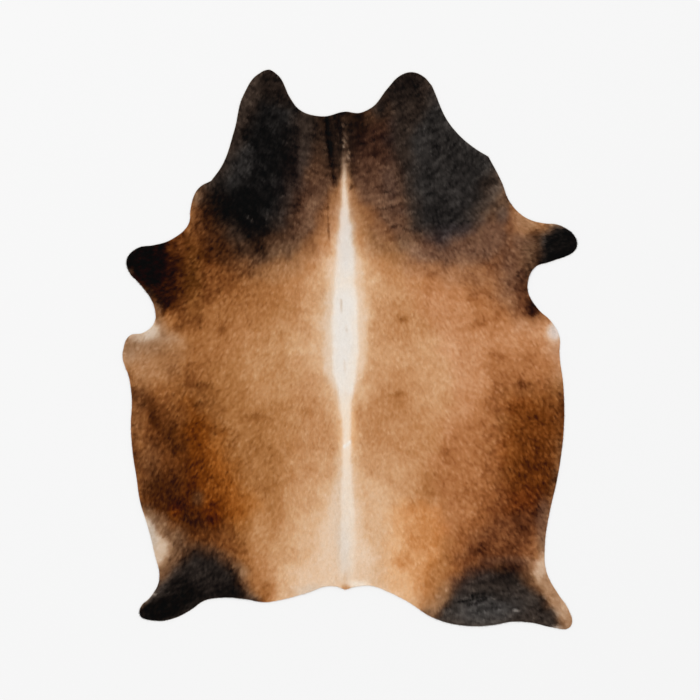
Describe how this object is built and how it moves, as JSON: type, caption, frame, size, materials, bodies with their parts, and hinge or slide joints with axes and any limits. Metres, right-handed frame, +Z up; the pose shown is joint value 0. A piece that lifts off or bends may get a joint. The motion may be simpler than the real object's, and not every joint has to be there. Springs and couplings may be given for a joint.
{
  "type": "cowhide rug",
  "caption": "Whole hair-on cattle hide rug lying flat, with neck flaps, four leg lobes, a tail stub, a pale spine line and soft packing folds.",
  "frame": {"origin": "on the floor, at the middle of the rug's bounding box", "axes": "+X across the hide to the right as seen from above with the neck at the top, +Y along the hide towards the neck, +Z up out of the floor"},
  "size_m": [1.82, 2.24, 0.0072],
  "materials": {
    "hair_on_hide": "short smooth hair, tan with a white spine line, black neck and leg patches and dark brown flanks"
  },
  "bodies": {
    "root": {"hide": "hair_on_hide"}
  },
  "joints": []
}
